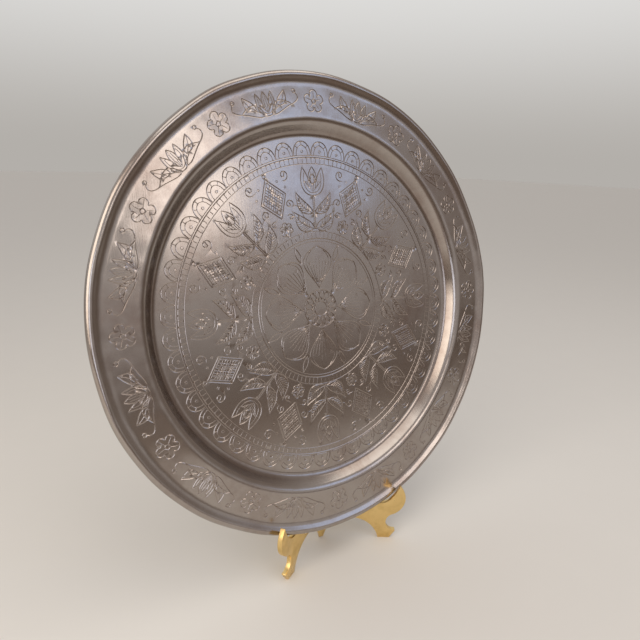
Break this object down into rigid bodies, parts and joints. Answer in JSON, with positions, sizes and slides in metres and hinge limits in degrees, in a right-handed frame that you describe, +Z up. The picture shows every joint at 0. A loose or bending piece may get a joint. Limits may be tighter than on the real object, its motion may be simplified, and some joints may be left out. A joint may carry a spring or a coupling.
{
  "type": "presentation plate on folding stand",
  "caption": "Round dished metal display plate with a rolled wired edge, leaning on a folding three-legged brass stand whose hooked front legs hold its edge.",
  "frame": {"origin": "on the table, in the middle of the box round the whole object, with the stand open and the plate on it", "axes": "+Z up, the plate faces -Y and leans back towards +Y, +X to the right of someone who looks at the plate's front along +Y"},
  "size_m": [0.34, 0.1023, 0.3632],
  "materials": {
    "pewter": "aged pewter, engraved, soft satin polish",
    "iron_wire": "drawn iron wire, hidden in the rolled edge",
    "brass": "cast brass, satin polish"
  },
  "bodies": {
    "stand": {"rear_leg": "brass", "hinge_pin": "brass"},
    "left_leg": {"left_front_leg": "brass"},
    "right_leg": {"right_front_leg": "brass"},
    "plate": {"plate": "pewter", "rim_wire": "iron_wire"}
  },
  "joints": [
    {"name": "plate_lift", "type": "slide", "parent": "stand", "child": "plate", "axis": [0, 0, 1], "range_m": [0, 0.14]},
    {"name": "left_leg_fold", "type": "hinge", "parent": "stand", "child": "left_leg", "pos_m": [0, -0.01468, 0], "axis": [0, 0, 1], "range_deg": [0, 58]},
    {"name": "right_leg_fold", "type": "hinge", "parent": "stand", "child": "right_leg", "pos_m": [0, -0.01468, 0], "axis": [0, 0, -1], "range_deg": [0, 58]}
  ],
  "couplings": [
    {"joint": "left_leg_fold", "follows": "plate_lift", "rad_per_m": 7.2306},
    {"joint": "right_leg_fold", "follows": "plate_lift", "rad_per_m": 7.2306}
  ]
}
